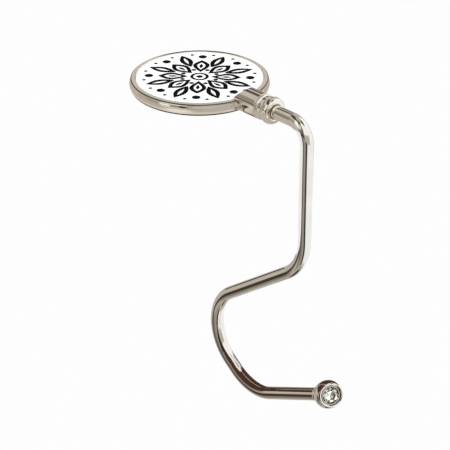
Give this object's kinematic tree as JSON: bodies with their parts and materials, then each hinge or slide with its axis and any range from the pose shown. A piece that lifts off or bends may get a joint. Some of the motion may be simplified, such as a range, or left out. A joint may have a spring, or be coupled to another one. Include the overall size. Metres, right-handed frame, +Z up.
{
  "type": "bag hanger",
  "caption": "Nickel bag hanger: a round disc with a white domed face lies at a table's edge, and a bent wire hook with a jewelled ball end swivels in its neck.",
  "frame": {"origin": "middle of the grip pad's underside, the face that lies on the table", "axes": "+Z up from the table, +X out along the neck past the table's edge, +Y across the hook's plane"},
  "size_m": [0.0805, 0.0408, 0.1006],
  "materials": {
    "nickel": "bright nickel plate on zinc casting and steel wire",
    "film": "double-sided adhesive film",
    "print": "white printed insert",
    "resin": "clear doming resin",
    "rubber": "matt non-slip rubber",
    "nylon": "natural nylon",
    "steel": "spring steel",
    "crystal": "clear cut glass stone"
  },
  "bodies": {
    "rest": {"disc_tray": "nickel", "insert_film": "film", "printed_insert": "print", "clear_dome": "resin", "pad_film": "film", "grip_pad": "rubber", "collar_ring": "nickel", "collar_sleeve": "nickel", "collar_nose": "nickel", "swivel_bush": "nylon", "thrust_washer": "steel"},
    "hook": {"hook_wire": "nickel", "retaining_clip": "steel", "ball_end": "nickel", "stone_setting": "nickel", "crystal_stone": "crystal"}
  },
  "joints": [
    {"name": "hook_swivel", "type": "hinge", "parent": "rest", "child": "hook", "pos_m": [0.027, 0, 0.0043], "axis": [1, 0, 0], "continuous": true}
  ]
}
